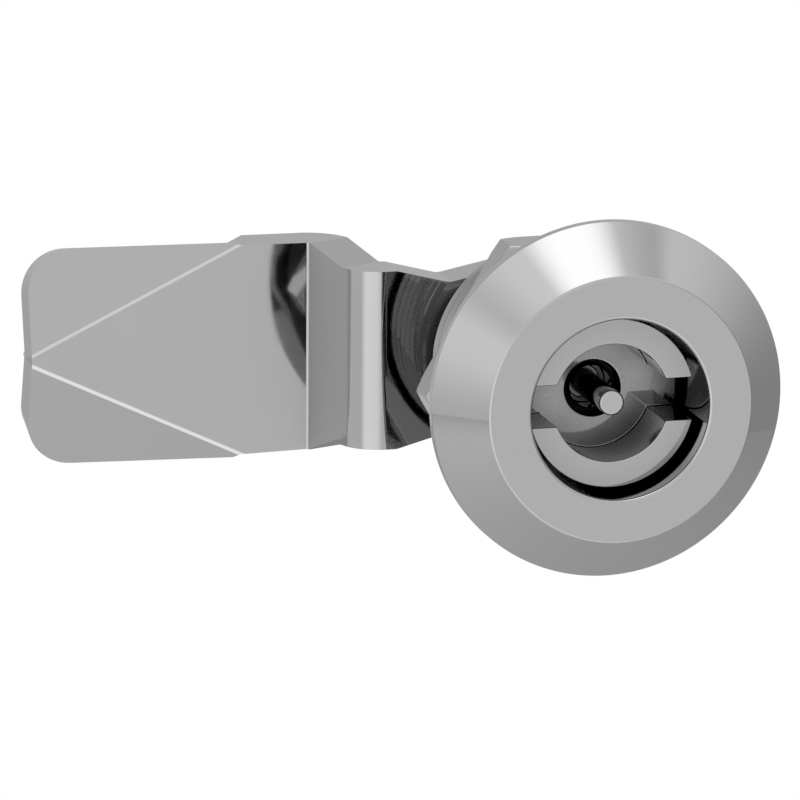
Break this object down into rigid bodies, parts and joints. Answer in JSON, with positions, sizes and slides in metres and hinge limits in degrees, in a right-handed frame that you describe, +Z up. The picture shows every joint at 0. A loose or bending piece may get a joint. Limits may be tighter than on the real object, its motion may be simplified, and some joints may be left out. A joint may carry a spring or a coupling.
{
  "type": "cam lock",
  "caption": "Quarter-turn cam lock: bevelled round head with a double-bit socket, barrel with lock nut, and a cranked steel cam that swings behind the frame.",
  "frame": {"origin": "on the lock's axis, in the plane of the head's back, which seats on the panel", "axes": "+Y along the barrel towards the inside of the door, +Z up, the cam points to -X when the lock is shut"},
  "size_m": [0.062, 0.0378, 0.0324],
  "materials": {
    "housing_steel": "polished",
    "driver_steel": "polished",
    "pin_steel": "polished",
    "cam_steel": "polished",
    "nut_steel": "polished",
    "screw_steel": "bright",
    "washer_steel": "bright",
    "seal_rubber": "matt",
    "slide_plastic": "satin"
  },
  "bodies": {
    "lock_body": {"housing": "housing_steel", "flange_seal": "seal_rubber", "toothed_washer": "washer_steel", "lock_nut": "nut_steel", "bow_washer": "washer_steel"},
    "turning_part": {"driver": "driver_steel", "key_pin": "pin_steel", "shaft_seal": "seal_rubber", "slide_washer": "slide_plastic", "stop_washer": "washer_steel", "retaining_ring": "washer_steel", "cam": "cam_steel", "screw_flat_washer": "washer_steel", "screw_spring_washer": "washer_steel", "cam_screw": "screw_steel"}
  },
  "joints": [
    {"name": "quarter_turn", "type": "hinge", "parent": "lock_body", "child": "turning_part", "pos_m": [0, 0, 0], "axis": [0, -1, 0], "range_deg": [0, 90]}
  ]
}
